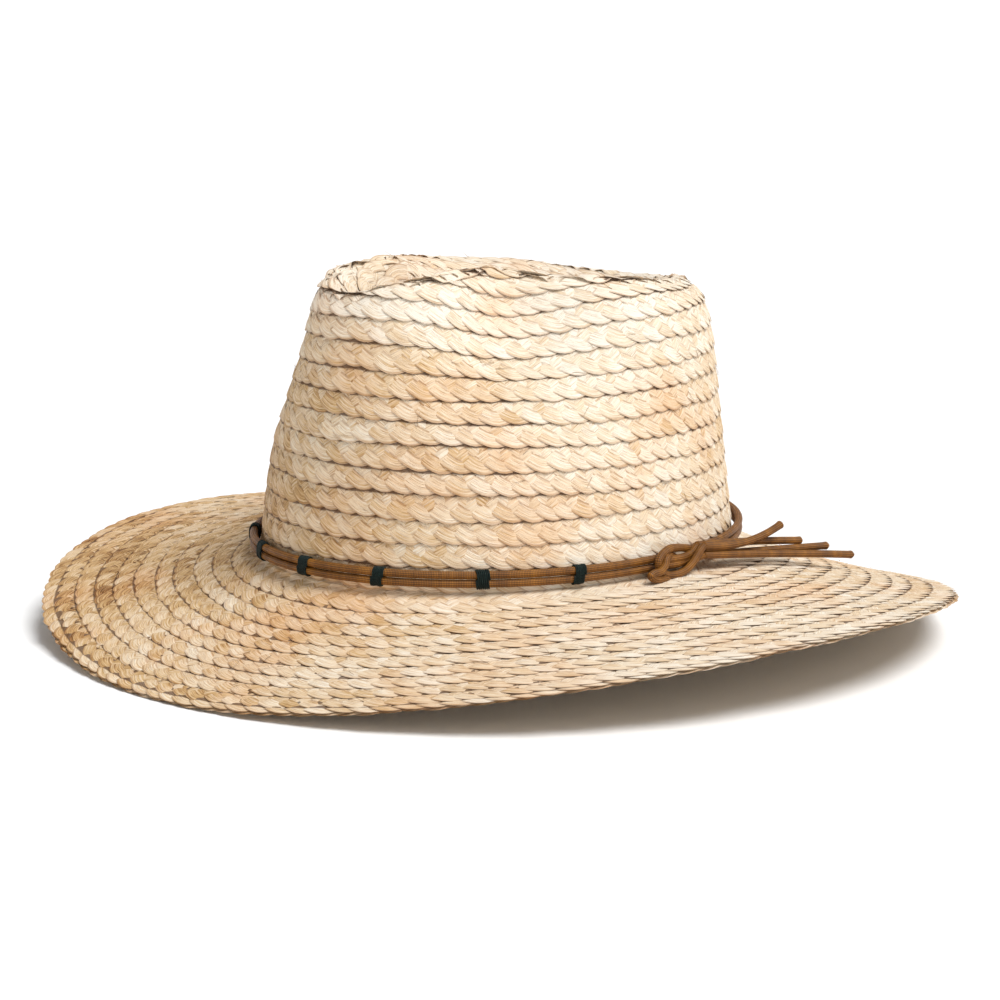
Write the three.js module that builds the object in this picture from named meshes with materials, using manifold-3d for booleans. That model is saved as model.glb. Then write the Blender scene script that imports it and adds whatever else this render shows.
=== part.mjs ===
// Straw fedora: a hollow crown with a teardrop dent and two front pinches, a separate
// saddle-shaped brim, and a band of two waxed cords tied in a knot on the wearer's left.
// Millimetres. The hat faces -Y, +X is the wearer's left, +Z is up, and the lowest parts
// of the brim stand on z = 0.
import * as THREE from 'three';
import { mergeVertices } from 'three/addons/utils/BufferGeometryUtils.js';
import Module from 'manifold-3d';

const wasm = await Module();
wasm.setup();

// Crown: the outline at its foot, and where that foot stands above the table.
const FOOT_HALF_WIDTH = 86.5;
const FOOT_HALF_LENGTH = 102.5;
const FOOT_HEIGHT = 35.8;
const FOOT_DIP_FRONT = 1.9;
const FOOT_DIP_SIDE = 0.5;
const WALL = 2.4;
const CLEARANCE = 0.3;

// Crest of the crown, every 22.5 degrees from the front to the back, in millimetres.
// height: above the foot. inset: how far the crest lies inside the foot.
const CREST_STEP = 22.5;
const CREST = [
  { height: 106.0, inset: 17.0 },
  { height: 109.5, inset: 20.0 },
  { height: 112.0, inset: 24.5 },
  { height: 109.0, inset: 23.0 },
  { height: 108.0, inset: 23.5 },
  { height: 105.0, inset: 23.5 },
  { height: 104.0, inset: 24.0 },
  { height: 101.0, inset: 24.0 },
  { height: 99.5, inset: 24.0 },
];

// Wall from the foot to the crest. rise and lean are shares of the crest's height and
// inset, pinch is the share of the front pinch at that level.
const WALL_PROFILE = [
  { rise: 0.0, lean: 0.0, pinch: 0.0 },
  { rise: 0.12, lean: 0.06, pinch: 0.0 },
  { rise: 0.3, lean: 0.16, pinch: 0.0 },
  { rise: 0.45, lean: 0.24, pinch: 0.1 },
  { rise: 0.6, lean: 0.32, pinch: 0.36 },
  { rise: 0.75, lean: 0.4, pinch: 0.78 },
  { rise: 0.87, lean: 0.51, pinch: 1.03 },
  { rise: 0.95, lean: 0.69, pinch: 1.05 },
  { rise: 1.0, lean: 1.0, pinch: 1.0 },
];

// Dent in the top, from the crest to its middle line, in six equal steps inwards.
const DENT_PROFILE = [
  { drop: 0.0 },
  { drop: 0.1 },
  { drop: 0.42 },
  { drop: 0.74 },
  { drop: 0.92 },
  { drop: 0.985 },
  { drop: 1.0 },
];
const DENT_LINE_HALF_LENGTH = 17;
const DENT_FLOOR_FRONT = 80;
const DENT_FLOOR_BACK = 74;
const DENT_FLOOR_REACH = 60;

// Two pinches at the front and the small fold between them.
const PINCH_ANGLE = 50;
const PINCH_SPREAD_FRONT = 17;
const PINCH_SPREAD_BACK = 24;
const PINCH_DEPTH = 25;
const FOLD_SPREAD = 9;
const FOLD_DEPTH = 9;
const FOLD_START = 7.44;
const FOLD_LENGTH = 4.8;

// Brim: its width and the height of its edge change round the hat.
const BRIM_WIDTH = 86.4;
const BRIM_WIDTH_FRONT_BACK = -2.6;
const BRIM_WIDTH_SADDLE = -5.4;
const BRIM_DROP = 21;
const BRIM_DROP_SADDLE = 12.2;
const BRIM_CURVE_POWER = 0.63;
const BRIM_CURVE_START = 0.03;
const BRIM_THICKNESS = 2.4;
const HEM_WIDTH = 7;
const HEM_THICKNESS = 3.6;
const EDGE_ROUNDING = 0.8;

// Band: two cords, one above the other, bound together by short lashings.
const CORD_DIAMETER = 3.0;
const CORD_LOWER_HEIGHT = 2.3;
const CORD_UPPER_HEIGHT = 5.5;
const CORD_STANDOFF = 1.3;
const CORD_START_ANGLE = 84;
const CORD_END_ANGLE = -262;
const CORD_STEPS = 78;
const CORD_SIDES = 8;
const LASHING_ANGLES = [64.4, 43.2, 19.4, -1.8, -22.5, -44, -66, -89, -112, -135, -158, -181, -204];
const LASHING_WIDTH = 4.8;
const LASHING_THICKNESS = 0.7;
const LASHING_GAP = 0.3;

// Knot: three overlapping lumps, each with its centre and half sizes, and a tilt in degrees.
// along: towards the back of the hat. out: away from the foot of the crown. up: above it.
const KNOT_ANGLE = 91;
const KNOT_LUMPS = [
  { along: -8.5, out: 6.4, up: 5.6, halfLength: 5.6, halfDepth: 5.2, halfHeight: 7.0, tilt: -14 },
  { along: 0.5, out: 6.2, up: 5.8, halfLength: 11.0, halfDepth: 4.4, halfHeight: 5.0, tilt: 6 },
  { along: 7.5, out: 5.8, up: 7.2, halfLength: 9.0, halfDepth: 4.2, halfHeight: 4.4, tilt: 24 },
];

// Four loose tails of the cords. Each route has a start in the knot, a bend and an end,
// as x, y and the height above the foot of the crown.
const TAILS = [
  { name: 'tail_1', start: [94.2, 12.0, 7.4], bend: [96.8, 34.0, 6.2], end: [97.5, 57.0, 10.6] },
  { name: 'tail_2', start: [90.8, 12.0, 7.2], bend: [93.2, 42.0, 5.0], end: [98.0, 70.0, 2.2] },
  { name: 'tail_3', start: [90.8, 12.0, 3.4], bend: [95.4, 46.0, 1.1], end: [102.5, 82.0, -0.8] },
  { name: 'tail_4', start: [94.2, 12.0, 3.8], bend: [100.2, 50.0, 0.0], end: [107.0, 93.0, -5.4] },
];
const TAIL_STEPS = 10;

// The brim is wider at the back, so the whole hat moves forward to stand centred on the origin.
const CENTRE_SHIFT = BRIM_WIDTH_FRONT_BACK;

// How finely the straw walls are faceted.
const SEGMENTS = 72;
const WALL_RINGS = [0, 1, 2, 3, 4, 5, 6, 6.5, 7, 7.5, 8];
const DENT_RINGS = [0.5, 1, 1.6, 2.3, 3.1, 4, 5, 6];
const BRIM_RINGS = [0, 0.04, 0.1, 0.19, 0.3, 0.43, 0.57, 0.71, 0.85, 0.93];

const STRAW = { color: 0xd9be8f, roughness: 0.85, metalness: 0.0 };
const CORD = { color: 0x8a5a28, roughness: 0.6, metalness: 0.0 };
const THREAD = { color: 0x12332d, roughness: 0.5, metalness: 0.0 };

const radians = THREE.MathUtils.degToRad;

/** Value of a column between the rows of a table, on a smooth curve through the rows. */
function between(rows, column, place) {
  const last = rows.length - 1;
  const row = Math.min(Math.floor(place), last - 1);
  const value = (index) => {
    if (index < 0) return 2 * rows[0][column] - rows[1][column];
    if (index > last) return 2 * rows[last][column] - rows[last - 1][column];
    return rows[index][column];
  };
  const share = place - row;
  const before = value(row - 1);
  const near = value(row);
  const far = value(row + 1);
  const after = value(row + 2);
  const slope = (far - before) / 2;
  const bend = before - 2.5 * near + 2 * far - after / 2;
  const twist = (after - before) / 2 + 1.5 * (near - far);
  return near + slope * share + bend * share ** 2 + twist * share ** 3;
}

/** Degrees from the front of the hat, 0 to 180 on either side. */
function fromFront(angle) {
  const turn = THREE.MathUtils.euclideanModulo(THREE.MathUtils.radToDeg(angle) + 180, 360);
  return Math.abs(turn - 180);
}

/** Height of the foot of the crown above the table, at an angle round the hat. */
function footHeight(angle) {
  return FOOT_HEIGHT - FOOT_DIP_FRONT * Math.cos(angle) - FOOT_DIP_SIDE * Math.sin(angle) ** 2;
}

/** Point on the crown's outer face: level 0 to 8 up the wall, 8 to 14 into the dent. */
function crownPoint(angle, level) {
  const turn = fromFront(angle);
  const wallLevel = Math.min(level, WALL_PROFILE.length - 1);
  const dentLevel = Math.max(level - (WALL_PROFILE.length - 1), 0);
  const crestHeight = between(CREST, 'height', turn / CREST_STEP);
  const crestInset = between(CREST, 'inset', turn / CREST_STEP);
  const spread = turn < PINCH_ANGLE ? PINCH_SPREAD_FRONT : PINCH_SPREAD_BACK;
  const pinch = PINCH_DEPTH * Math.exp(-(((turn - PINCH_ANGLE) / spread) ** 2) / 2);
  const inset = crestInset * between(WALL_PROFILE, 'lean', wallLevel)
    + pinch * between(WALL_PROFILE, 'pinch', wallLevel);
  const inwards = dentLevel / (DENT_PROFILE.length - 1);
  const middle = -DENT_LINE_HALF_LENGTH * Math.cos(angle);
  const x = (FOOT_HALF_WIDTH - inset) * Math.sin(angle) * (1 - inwards);
  const y = middle + (-(FOOT_HALF_LENGTH - inset) * Math.cos(angle) - middle) * (1 - inwards);
  const floorShare = (y + DENT_FLOOR_REACH) / (2 * DENT_FLOOR_REACH);
  const floor = DENT_FLOOR_FRONT + (DENT_FLOOR_BACK - DENT_FLOOR_FRONT) * floorShare;
  const rise = crestHeight * between(WALL_PROFILE, 'rise', wallLevel);
  const drop = (crestHeight - floor) * between(DENT_PROFILE, 'drop', dentLevel);
  const foldPlace = THREE.MathUtils.clamp((level - FOLD_START) / FOLD_LENGTH, 0, 1);
  const fold = FOLD_DEPTH * Math.exp(-((turn / FOLD_SPREAD) ** 2) / 2) * Math.sin(Math.PI * foldPlace);
  const lift = footHeight(angle) * (1 - wallLevel / (WALL_PROFILE.length - 1))
    + FOOT_HEIGHT * (wallLevel / (WALL_PROFILE.length - 1));
  return new THREE.Vector3(x, y, lift + rise - drop - fold);
}

/** Triangle mesh of a grid of points, rows along u and columns round the hat. */
function gridFaces(rowStarts, count, flip) {
  const faces = [];
  for (let row = 0; row + 1 < rowStarts.length; row += 1) {
    for (let column = 0; column < count; column += 1) {
      const next = (column + 1) % count;
      const a = rowStarts[row] + column;
      const b = rowStarts[row] + next;
      const c = rowStarts[row + 1] + next;
      const d = rowStarts[row + 1] + column;
      if (flip) faces.push(a, c, b, a, d, c);
      else faces.push(a, b, c, a, c, d);
    }
  }
  return faces;
}

/** Joins equal corners, in their order, and drops the triangles that this leaves without area. */
function closedGeometry(points, faces) {
  const places = new Map();
  const kept = [];
  const welded = points.map((point) => {
    const key = point.map((value) => Math.round(value * 1000)).join();
    if (!places.has(key)) {
      places.set(key, kept.length);
      kept.push(point);
    }
    return places.get(key);
  });
  const corners = [];
  for (let i = 0; i < faces.length; i += 3) {
    const [a, b, c] = [welded[faces[i]], welded[faces[i + 1]], welded[faces[i + 2]]];
    if (a !== b && b !== c && c !== a) corners.push(a, b, c);
  }
  const geometry = new THREE.BufferGeometry();
  geometry.setAttribute('position', new THREE.BufferAttribute(new Float32Array(kept.flat()), 3));
  geometry.setIndex(corners);
  geometry.computeVertexNormals();
  return geometry;
}

/** Crown: an outer face, the same face set in by the wall, and a ring that joins them below. */
function crownGeometry() {
  const levels = [...WALL_RINGS, ...DENT_RINGS.map((ring) => ring + WALL_PROFILE.length - 1)];
  const outer = [];
  for (const level of levels) {
    for (let i = 0; i < SEGMENTS; i += 1) {
      outer.push(crownPoint((2 * Math.PI * i) / SEGMENTS, level).toArray());
    }
  }
  const starts = levels.map((level, row) => row * SEGMENTS);
  const skin = closedGeometry(outer, gridFaces(starts, SEGMENTS, false));
  const place = skin.getAttribute('position');
  const normal = skin.getAttribute('normal');
  const count = place.count;
  const points = [];
  for (let i = 0; i < count; i += 1) points.push([place.getX(i), place.getY(i), place.getZ(i)]);
  for (let i = 0; i < count; i += 1) {
    const inFoot = i < SEGMENTS;
    points.push([
      place.getX(i) - WALL * normal.getX(i),
      place.getY(i) - WALL * normal.getY(i),
      inFoot ? place.getZ(i) : place.getZ(i) - WALL * normal.getZ(i),
    ]);
  }
  const outerFaces = Array.from(skin.getIndex().array);
  const innerFaces = [];
  for (let i = 0; i < outerFaces.length; i += 3) {
    innerFaces.push(outerFaces[i] + count, outerFaces[i + 2] + count, outerFaces[i + 1] + count);
  }
  const footFaces = gridFaces([0, count], SEGMENTS, true);
  return closedGeometry(points, [...outerFaces, ...innerFaces, ...footFaces]);
}

/** Share of the brim's drop reached at a share of its width: quick at first, then flatter. */
function brimCurve(share) {
  const start = BRIM_CURVE_START ** BRIM_CURVE_POWER;
  const end = (1 + BRIM_CURVE_START) ** BRIM_CURVE_POWER;
  return ((share + BRIM_CURVE_START) ** BRIM_CURVE_POWER - start) / (end - start);
}

/** Width of the brim at an angle, seen from above. */
function brimWidth(angle) {
  return BRIM_WIDTH + BRIM_WIDTH_FRONT_BACK * Math.cos(angle) + BRIM_WIDTH_SADDLE * Math.cos(2 * angle);
}

/** Height of the brim's upper face, at a share of its width. */
function brimTop(angle, share) {
  const foot = footHeight(angle);
  const edge = FOOT_HEIGHT - BRIM_DROP - BRIM_DROP_SADDLE * Math.cos(2 * angle);
  return foot + (edge - foot) * brimCurve(share);
}

/** One section of the brim as a closed loop, with the hem flattened where it stands. */
function brimSection(angle) {
  const width = brimWidth(angle);
  const point = (out, z) => [
    (FOOT_HALF_WIDTH - WALL + out) * Math.sin(angle),
    -(FOOT_HALF_LENGTH - WALL + out) * Math.cos(angle),
    Math.max(z, 0),
  ];
  const reach = width + WALL;
  const height = (out) => brimTop(angle, Math.max((out - WALL) / width, 0)) - CLEARANCE;
  const hemStart = reach - HEM_WIDTH;
  const top = BRIM_RINGS.map((share) => point(share * reach, height(share * reach)));
  const under = BRIM_RINGS.filter((share) => share * reach < hemStart)
    .map((share) => point(share * reach, height(share * reach) - BRIM_THICKNESS));
  const edge = [
    point(reach - EDGE_ROUNDING, height(reach)),
    point(reach, height(reach) - HEM_THICKNESS / 2),
    point(reach - EDGE_ROUNDING, height(reach) - HEM_THICKNESS),
    point(reach - HEM_WIDTH / 2 - EDGE_ROUNDING, height(reach - HEM_WIDTH / 2) - HEM_THICKNESS),
    point(hemStart, height(hemStart) - HEM_THICKNESS),
    point(hemStart, height(hemStart) - BRIM_THICKNESS),
  ];
  return [...top, ...edge, ...under.reverse()];
}

/** Brim: the section at each angle, skinned all the way round. */
function brimGeometry() {
  const sections = [];
  for (let i = 0; i < SEGMENTS; i += 1) sections.push(brimSection((2 * Math.PI * i) / SEGMENTS));
  const count = sections[0].length;
  const starts = sections.map((section, row) => row * count);
  return closedGeometry(sections.flat(), gridFaces([...starts, 0], count, false));
}

/** Point of the band, at a height above the foot and a distance out from the crown. */
function bandPoint(degrees, height, out) {
  const angle = radians(degrees);
  return new THREE.Vector3(
    (FOOT_HALF_WIDTH + out) * Math.sin(angle),
    -(FOOT_HALF_LENGTH + out) * Math.cos(angle),
    footHeight(angle) + height,
  );
}

/** Solid round cord that follows a curve. */
function cordGeometry(curve, steps, radius) {
  const shape = new THREE.Shape();
  for (let side = 0; side < CORD_SIDES; side += 1) {
    const turn = (2 * Math.PI * side) / CORD_SIDES;
    if (side === 0) shape.moveTo(radius, 0);
    else shape.lineTo(radius * Math.cos(turn), radius * Math.sin(turn));
  }
  shape.closePath();
  return new THREE.ExtrudeGeometry(shape, { steps, extrudePath: curve, bevelEnabled: false });
}

/** Route of one cord of the band, from one side of the knot round to the other. */
function bandRoute(height) {
  const out = CORD_STANDOFF + CORD_DIAMETER / 2;
  const points = [];
  for (let i = 0; i <= CORD_STEPS; i += 1) {
    const degrees = CORD_START_ANGLE + ((CORD_END_ANGLE - CORD_START_ANGLE) * i) / CORD_STEPS;
    points.push(bandPoint(degrees, height, out));
  }
  return new THREE.CatmullRomCurve3(points);
}

/** Route of one loose tail. */
function tailRoute(tail) {
  const points = [tail.start, tail.bend, tail.end];
  return new THREE.CatmullRomCurve3(points.map(([x, y, z]) => new THREE.Vector3(x, y, z + FOOT_HEIGHT)));
}

/** Outline round both cords, grown by a margin, in the plane across the band. */
function pairOutline(margin, Kind) {
  const radius = CORD_DIAMETER / 2 + margin;
  const half = (CORD_UPPER_HEIGHT - CORD_LOWER_HEIGHT) / 2;
  const outline = new Kind();
  outline.absarc(0, half, radius, 0, Math.PI, false);
  outline.absarc(0, -half, radius, Math.PI, 2 * Math.PI, false);
  outline.closePath();
  return outline;
}

/** One lashing: a short sleeve round both cords. */
function lashingMesh(name, degrees) {
  const shape = pairOutline(LASHING_GAP + LASHING_THICKNESS, THREE.Shape);
  shape.holes.push(pairOutline(LASHING_GAP, THREE.Path));
  const geometry = new THREE.ExtrudeGeometry(shape, {
    depth: LASHING_WIDTH, bevelEnabled: false, curveSegments: 6,
  });
  geometry.translate(0, 0, -LASHING_WIDTH / 2);
  const out = CORD_STANDOFF + CORD_DIAMETER / 2;
  const height = (CORD_LOWER_HEIGHT + CORD_UPPER_HEIGHT) / 2;
  const place = bandPoint(degrees, height, out);
  const ahead = bandPoint(degrees + 1, height, out).sub(bandPoint(degrees - 1, height, out)).normalize();
  const across = new THREE.Vector3().crossVectors(new THREE.Vector3(0, 0, 1), ahead).normalize();
  const up = new THREE.Vector3().crossVectors(ahead, across);
  const mesh = namedMesh(name, geometry, THREAD);
  mesh.quaternion.setFromRotationMatrix(new THREE.Matrix4().makeBasis(across, up, ahead));
  mesh.position.copy(place);
  return mesh;
}

/** Closed solid for joining and cutting, made from a geometry in place. */
function toSolid(geometry) {
  const plain = new THREE.BufferGeometry();
  plain.setAttribute('position', geometry.getAttribute('position'));
  if (geometry.getIndex()) plain.setIndex(geometry.getIndex());
  const joined = mergeVertices(plain, 1e-4);
  return new wasm.Manifold(new wasm.Mesh({
    numProp: 3,
    vertProperties: new Float32Array(joined.getAttribute('position').array),
    triVerts: new Uint32Array(joined.getIndex().array),
  }));
}

/** Geometry of a joined or cut solid. */
function fromSolid(solid) {
  const mesh = solid.getMesh();
  const geometry = new THREE.BufferGeometry();
  geometry.setAttribute('position', new THREE.BufferAttribute(new Float32Array(mesh.vertProperties), 3));
  geometry.setIndex(new THREE.BufferAttribute(new Uint32Array(mesh.triVerts), 1));
  geometry.computeVertexNormals();
  return geometry;
}

/** The same route, longer by the clearance at both ends. */
function lengthened(route) {
  const points = route.points.map((point) => point.clone());
  const end = points.length - 1;
  const back = points[0].clone().sub(points[1]).setLength(CLEARANCE);
  const ahead = points[end].clone().sub(points[end - 1]).setLength(CLEARANCE);
  points[0].add(back);
  points[end].add(ahead);
  return new THREE.CatmullRomCurve3(points);
}

/** Knot: the lumps joined, with sockets where the cords of the band and the tails enter. */
function knotGeometry() {
  const foot = bandPoint(KNOT_ANGLE, 0, 0);
  const lumps = KNOT_LUMPS.map((lump) => {
    const ball = new THREE.SphereGeometry(1, 16, 10);
    ball.scale(lump.halfDepth, lump.halfLength, lump.halfHeight);
    ball.rotateX(radians(lump.tilt));
    ball.translate(foot.x + lump.out, foot.y + lump.along, foot.z + lump.up);
    return toSolid(ball);
  });
  const socketRadius = CORD_DIAMETER / 2 + CLEARANCE;
  const routes = [bandRoute(CORD_LOWER_HEIGHT), bandRoute(CORD_UPPER_HEIGHT), ...TAILS.map(tailRoute)];
  const steps = [CORD_STEPS, CORD_STEPS, ...TAILS.map(() => TAIL_STEPS)];
  const sockets = routes.map((route, i) => (
    toSolid(cordGeometry(lengthened(route), steps[i], socketRadius))
  ));
  const body = lumps.reduce((whole, lump) => whole.add(lump));
  return fromSolid(sockets.reduce((rest, socket) => rest.subtract(socket), body));
}

/** Mesh with a name and its own material. */
function namedMesh(name, geometry, look) {
  const mesh = new THREE.Mesh(geometry, new THREE.MeshStandardMaterial(look));
  mesh.name = name;
  return mesh;
}

/** The whole hat. */
function hat() {
  const group = new THREE.Group();
  group.add(namedMesh('crown', crownGeometry(), STRAW));
  group.add(namedMesh('brim', brimGeometry(), STRAW));
  const cordRadius = CORD_DIAMETER / 2;
  const cords = [
    ['band_cord_lower', CORD_LOWER_HEIGHT],
    ['band_cord_upper', CORD_UPPER_HEIGHT],
  ];
  for (const [name, height] of cords) {
    group.add(namedMesh(name, cordGeometry(bandRoute(height), CORD_STEPS, cordRadius), CORD));
  }
  LASHING_ANGLES.forEach((degrees, i) => {
    group.add(lashingMesh(`lashing_${String(i + 1).padStart(2, '0')}`, degrees));
  });
  group.add(namedMesh('knot', knotGeometry(), CORD));
  for (const tail of TAILS) {
    group.add(namedMesh(tail.name, cordGeometry(tailRoute(tail), TAIL_STEPS, cordRadius), CORD));
  }
  for (const mesh of group.children) mesh.position.y += CENTRE_SHIFT;
  return group;
}

export default hat();
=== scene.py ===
# %% [markdown]
# # A straw fedora, sewn from one long plait
#
# This lesson gives a hat its straw, its cords and its thread. A hat of this kind starts as a flat
# plait of five raffia strands, many metres long. The maker sews it round and round itself, each
# row lapped over the one before, and steams the result into shape on a block. So its look comes
# from its strands, and here every strand is a mesh that lies where the real one would.
#
# The hat's exact shape comes from a CAD model, and the first cell loads that model as a fixed
# frame. It is in metres. The hat faces -Y, the wearer's left is +X, and the table is z = 0.

import math

import bpy
import numpy as np
from mathutils import Matrix, Vector


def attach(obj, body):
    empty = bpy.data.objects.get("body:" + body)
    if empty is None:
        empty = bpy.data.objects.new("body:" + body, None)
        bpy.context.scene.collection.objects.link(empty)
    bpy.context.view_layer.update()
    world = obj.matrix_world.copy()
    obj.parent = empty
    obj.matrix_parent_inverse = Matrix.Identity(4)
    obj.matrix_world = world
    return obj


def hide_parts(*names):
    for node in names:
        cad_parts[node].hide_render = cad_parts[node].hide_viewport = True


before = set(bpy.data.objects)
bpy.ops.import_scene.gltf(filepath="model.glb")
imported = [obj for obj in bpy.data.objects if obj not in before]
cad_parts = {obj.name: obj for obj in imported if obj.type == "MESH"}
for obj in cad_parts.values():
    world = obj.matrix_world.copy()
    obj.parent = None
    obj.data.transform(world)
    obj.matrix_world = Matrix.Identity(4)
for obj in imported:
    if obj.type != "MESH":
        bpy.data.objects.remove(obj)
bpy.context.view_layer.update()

# %% [markdown]
# ## Millimetres on the hat, metres in the scene
#
# A hat maker measures in millimetres from the middle of the crown's foot. The scene is in metres,
# and the hat stands a little forward in it, so that it is centred. One helper turns the first into
# the second for every piece, so no object is ever moved or scaled.

# %% From the maker's millimetres to the scene
MILLIMETRE = 0.001
CENTRE_SHIFT = -2.6
FOOT_HALF_WIDTH = 86.5
FOOT_HALF_LENGTH = 102.5
FOOT_HEIGHT = 35.8
FOOT_DIP_FRONT = 1.9
FOOT_DIP_SIDE = 0.5
UP = (0.0, 0.0, 1.0)


def in_scene(points):
    """Millimetres from the middle of the crown, moved forward and turned into metres."""
    return (np.asarray(points, dtype=float) + (0.0, CENTRE_SHIFT, 0.0)) * MILLIMETRE


def foot_height(angle):
    """Height of the crown's foot: a constant, less a wave that dips at the front and the sides."""
    return FOOT_HEIGHT - FOOT_DIP_FRONT * np.cos(angle) - FOOT_DIP_SIDE * np.sin(angle) ** 2


print("the foot of the crown stands", foot_height(np.radians([0, 90, 180])), "mm up")

# %% [markdown]
# ## The camera
#
# The picture was taken from the front left of the hat, a little above the brim, with a long lens.
# The angles, the distance and the lens below were found by laying the outline of the model over
# the outline in the picture. A small roll is the tilt of the hand that held the camera.

# %% The camera
CAMERA_AZIMUTH = math.radians(41.99)
CAMERA_ELEVATION = math.radians(11.04)
CAMERA_ROLL = math.radians(-0.88)
CAMERA_DISTANCE = 1.13515
CAMERA_LENS = 101.87
CAMERA_SENSOR = 36.0
CAMERA_REACH = 100.0
AIM_ABOVE_FOOT = 0.01416


def new_object(name, data):
    """Object with that data, linked to the scene."""
    made = bpy.data.objects.new(name, data)
    bpy.context.scene.collection.objects.link(made)
    return made


foot_middle = Vector(in_scene([0.0, 0.0, FOOT_HEIGHT]))
towards_camera = Vector((
    math.sin(CAMERA_AZIMUTH) * math.cos(CAMERA_ELEVATION),
    -math.cos(CAMERA_AZIMUTH) * math.cos(CAMERA_ELEVATION),
    math.sin(CAMERA_ELEVATION),
))
camera_place = foot_middle + CAMERA_DISTANCE * towards_camera
aim = foot_middle + AIM_ABOVE_FOOT * Vector(UP)
back = (camera_place - aim).normalized()
right = Vector(UP).cross(back).normalized()
up = back.cross(right)
rolled = Matrix((right, up, back)).transposed() @ Matrix.Rotation(-CAMERA_ROLL, 3, "Z")
camera_data = bpy.data.cameras.new("camera")
camera_data.lens = CAMERA_LENS
camera_data.sensor_width = CAMERA_SENSOR
camera_data.clip_end = CAMERA_REACH
camera = new_object("camera", camera_data)
camera.matrix_world = Matrix.Translation(camera_place) @ rolled.to_4x4()
bpy.context.scene.camera = camera
print("the camera stands at", [round(value, 3) for value in camera_place])

# %% [markdown]
# ## Finishes as expressions
#
# A finish in Blender is a graph of nodes. Drawn by hand it soon becomes hard to read, so a small
# class wraps one socket and overloads Python's operators: `1 - mask * 0.5` adds the Math nodes
# that work it out. Everything that isn't plain arithmetic comes from `Finish.add`, which takes a
# node's type, its settings and its sockets.

# %% One socket with Python's operators
class Wire:
    """An output socket. An operator on it adds one Math node and gives that node's output."""

    def __init__(self, finish, socket):
        self.finish = finish
        self.socket = socket

    def math(self, operation, *others):
        """A Math node of this socket and the others."""
        values = dict(enumerate((self, *others)))
        return self.finish.add("ShaderNodeMath", {"operation": operation}, values)

    def swapped(self, operation, other):
        """The same with this socket in the second place."""
        return self.finish.add("ShaderNodeMath", {"operation": operation}, {0: other, 1: self})

    def __add__(self, other):
        return self.math("ADD", other)

    def __radd__(self, other):
        return self.swapped("ADD", other)

    def __sub__(self, other):
        return self.math("SUBTRACT", other)

    def __rsub__(self, other):
        return self.swapped("SUBTRACT", other)

    def __mul__(self, other):
        return self.math("MULTIPLY", other)

    def __gt__(self, other):
        return self.math("GREATER_THAN", other)

    def limited(self, low=0.0, high=1.0):
        """The larger of this socket and low, or high if that is smaller."""
        return self.math("MAXIMUM", low).math("MINIMUM", high)


# %% A finish under construction
class Finish:
    """A material, or a world, whose nodes are added one by one."""

    def __init__(self, name, kind="Material"):
        self.kind = kind
        self.owner = {"Material": bpy.data.materials, "World": bpy.data.worlds}[kind].new(name)
        self.owner.use_nodes = True
        self.tree = self.owner.node_tree
        self.tree.nodes.clear()

    def add(self, kind, settings=None, sockets=None, output=0):
        """A node of that kind: its settings are set first, then each socket gets its value or link."""
        node = self.tree.nodes.new(kind)
        for name, value in (settings or {}).items():
            if name == "stops":
                self.fill_ramp(node.color_ramp, value)
            else:
                setattr(node, name, value)
        for name, value in (sockets or {}).items():
            if isinstance(value, Wire):
                self.tree.links.new(value.socket, node.inputs[name])
            else:
                node.inputs[name].default_value = value
        return Wire(self, node.outputs[output]) if node.outputs else None

    def fill_ramp(self, ramp, stops):
        """Colour stops of a ramp, as pairs of a place and a colour."""
        while len(ramp.elements) < len(stops):
            ramp.elements.new(0.5)
        for element, (place, colour) in zip(ramp.elements, stops):
            element.position = place
            element.color = colour

    def along_and_around(self):
        """The map called along, and its two coordinates."""
        place = self.add("ShaderNodeUVMap", {"uv_map": "along"})
        split = self.add("ShaderNodeSeparateXYZ", None, {0: place}).socket.node
        return place, Wire(self, split.outputs[0]), Wire(self, split.outputs[1])

    def stretched(self, place, scale):
        """A place times a scale in each direction."""
        return self.add("ShaderNodeVectorMath", {"operation": "MULTIPLY"}, {0: place, 1: scale})

    def noise(self, place, scale, detail, roughness=0.5):
        """Smooth noise of a place times a scale."""
        return self.add("ShaderNodeTexNoise", None, {
            "Vector": place, "Scale": scale, "Detail": detail, "Roughness": roughness,
        })

    def ramp(self, stops, share):
        """Colour between the stops, at a share of the way from the first to the last."""
        return self.add("ShaderNodeValToRGB", {"stops": stops}, {"Fac": share})

    def darkened(self, colour, share, by):
        """The colour, multiplied by another one to that share."""
        settings = {"data_type": "RGBA", "blend_type": "MULTIPLY"}
        return self.add("ShaderNodeMix", settings, {0: share, 6: colour, 7: by}, 2)

    def bump(self, height, strength, distance):
        """Directions of a surface raised by a height times a distance."""
        sockets = {"Height": height, "Strength": strength, "Distance": distance}
        return self.add("ShaderNodeBump", None, sockets)

    def end(self, sockets, shader="ShaderNodeBsdfPrincipled"):
        """Shader and output. Constants go straight onto the shader's own sockets."""
        surface = self.add(shader, None, sockets)
        self.add(f"ShaderNodeOutput{self.kind}", None, {"Surface": surface})
        print(self.owner.name, "is a finish of", len(self.tree.nodes), "nodes")
        return self.owner


def paint(code):
    """Linear colour of a six-digit code: each channel is raised from the screen's curve."""
    channels = np.array([int(code[i:i + 2], 16) for i in (0, 2, 4)]) / 255
    linear = np.where(channels <= 0.04045, channels / 12.92, ((channels + 0.055) / 1.055) ** 2.4)
    return (*linear.tolist(), 1.0)


print("a warm straw colour in linear values:", [round(value, 3) for value in paint("e3c594")])

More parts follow.
